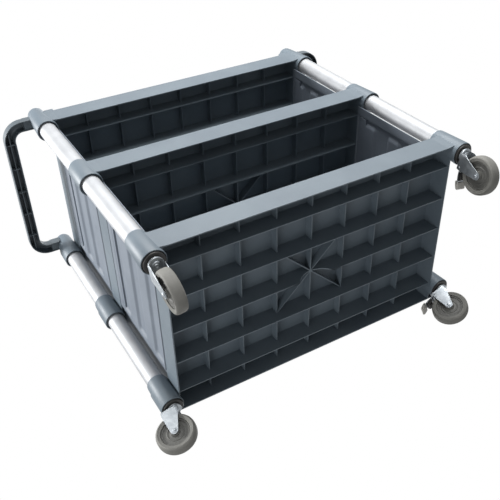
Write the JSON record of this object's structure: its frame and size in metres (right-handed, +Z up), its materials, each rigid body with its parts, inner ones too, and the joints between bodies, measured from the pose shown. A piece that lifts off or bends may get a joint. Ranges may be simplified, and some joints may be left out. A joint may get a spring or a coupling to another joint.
{
  "type": "laundry cart",
  "caption": "Laundry and service cart with moulded shelves on tube posts, fluted end panels, end push handles and swivel casters, some with foot brakes.",
  "frame": {"origin": "on the floor below the middle of the shelves, level with the bottoms of the tyres", "axes": "+Z up, X along the length with a handle at each end, -Y towards the open long side whose shelf rims are flush with the posts"},
  "size_m": [1.076, 0.5191, 0.973],
  "materials": {
    "shelf_plastic": "satin moulded",
    "handle_plastic": "satin moulded",
    "panel_plastic": "satin moulded",
    "post_metal": "satin anodised",
    "black_plastic": "moulded",
    "black_rubber": "matt",
    "zinc_steel": "bright zinc plated",
    "tyre_rubber": "smooth",
    "core_plastic": "moulded",
    "tip_plastic": "semi-matt"
  },
  "bodies": {
    "cart": {"bottom_shelf": "shelf_plastic", "middle_shelf": "shelf_plastic", "top_shelf": "shelf_plastic", "left_handle": "handle_plastic", "right_handle": "handle_plastic", "post_lower_front_left": "post_metal", "post_lower_back_left": "post_metal", "post_lower_front_right": "post_metal", "post_lower_back_right": "post_metal", "post_upper_front_left": "post_metal", "post_upper_back_left": "post_metal", "post_upper_front_right": "post_metal", "post_upper_back_right": "post_metal", "panel_lower_left": "panel_plastic", "panel_lower_right": "panel_plastic", "panel_upper_left": "panel_plastic", "panel_upper_right": "panel_plastic", "bush_front_left": "black_plastic", "stem_front_left": "zinc_steel", "kingpin_front_left": "zinc_steel", "bush_back_left": "black_plastic", "stem_back_left": "zinc_steel", "kingpin_back_left": "zinc_steel", "bush_front_right": "black_plastic", "stem_front_right": "zinc_steel", "kingpin_front_right": "zinc_steel", "bush_back_right": "black_plastic", "stem_back_right": "zinc_steel", "kingpin_back_right": "zinc_steel"},
    "swivel_front_left": {"fork_front_left": "zinc_steel", "axle_front_left": "zinc_steel"},
    "wheel_front_left": {"tyre_front_left": "tyre_rubber", "core_front_left": "core_plastic"},
    "swivel_back_left": {"fork_back_left": "zinc_steel", "axle_back_left": "zinc_steel"},
    "wheel_back_left": {"tyre_back_left": "tyre_rubber", "core_back_left": "core_plastic"},
    "swivel_front_right": {"fork_front_right": "zinc_steel", "axle_front_right": "zinc_steel"},
    "wheel_front_right": {"tyre_front_right": "tyre_rubber", "core_front_right": "core_plastic"},
    "swivel_back_right": {"fork_back_right": "zinc_steel", "axle_back_right": "zinc_steel"},
    "wheel_back_right": {"tyre_back_right": "tyre_rubber", "core_back_right": "core_plastic"},
    "brake_front_right": {"lever_front_right": "zinc_steel", "shoe_front_right": "black_rubber", "tip_front_right": "tip_plastic"},
    "brake_back_right": {"lever_back_right": "zinc_steel", "shoe_back_right": "black_rubber", "tip_back_right": "tip_plastic"}
  },
  "joints": [
    {"name": "caster_swivel_front_left", "type": "hinge", "parent": "cart", "child": "swivel_front_left", "pos_m": [-0.429, -0.229, 0.11], "axis": [0, 0, 1], "continuous": true},
    {"name": "wheel_spin_front_left", "type": "hinge", "parent": "swivel_front_left", "child": "wheel_front_left", "pos_m": [-0.42577, -0.2027, 0.05], "axis": [-0.9925, 0.1219, 0], "continuous": true},
    {"name": "caster_swivel_back_left", "type": "hinge", "parent": "cart", "child": "swivel_back_left", "pos_m": [-0.429, 0.213, 0.11], "axis": [0, 0, 1], "continuous": true},
    {"name": "wheel_spin_back_left", "type": "hinge", "parent": "swivel_back_left", "child": "wheel_back_left", "pos_m": [-0.4546, 0.21986, 0.05], "axis": [-0.2588, -0.9659, 0], "continuous": true},
    {"name": "caster_swivel_front_right", "type": "hinge", "parent": "cart", "child": "swivel_front_right", "pos_m": [0.429, -0.229, 0.11], "axis": [0, 0, 1], "continuous": true},
    {"name": "wheel_spin_front_right", "type": "hinge", "parent": "swivel_front_right", "child": "wheel_front_right", "pos_m": [0.42394, -0.20299, 0.05], "axis": [-0.9816, -0.1908, 0], "continuous": true},
    {"name": "caster_swivel_back_right", "type": "hinge", "parent": "cart", "child": "swivel_back_right", "pos_m": [0.429, 0.213, 0.11], "axis": [0, 0, 1], "continuous": true},
    {"name": "wheel_spin_back_right", "type": "hinge", "parent": "swivel_back_right", "child": "wheel_back_right", "pos_m": [0.40461, 0.22335, 0.05], "axis": [-0.3907, -0.9205, 0], "continuous": true},
    {"name": "brake_press_front_right", "type": "hinge", "parent": "swivel_front_right", "child": "brake_front_right", "pos_m": [0.42366, -0.20151, 0.106], "axis": [-0.9816, -0.1908, 0], "range_deg": [0, 6]},
    {"name": "brake_press_back_right", "type": "hinge", "parent": "swivel_back_right", "child": "brake_back_right", "pos_m": [0.40323, 0.22394, 0.106], "axis": [-0.3907, -0.9205, 0], "range_deg": [0, 6]}
  ]
}
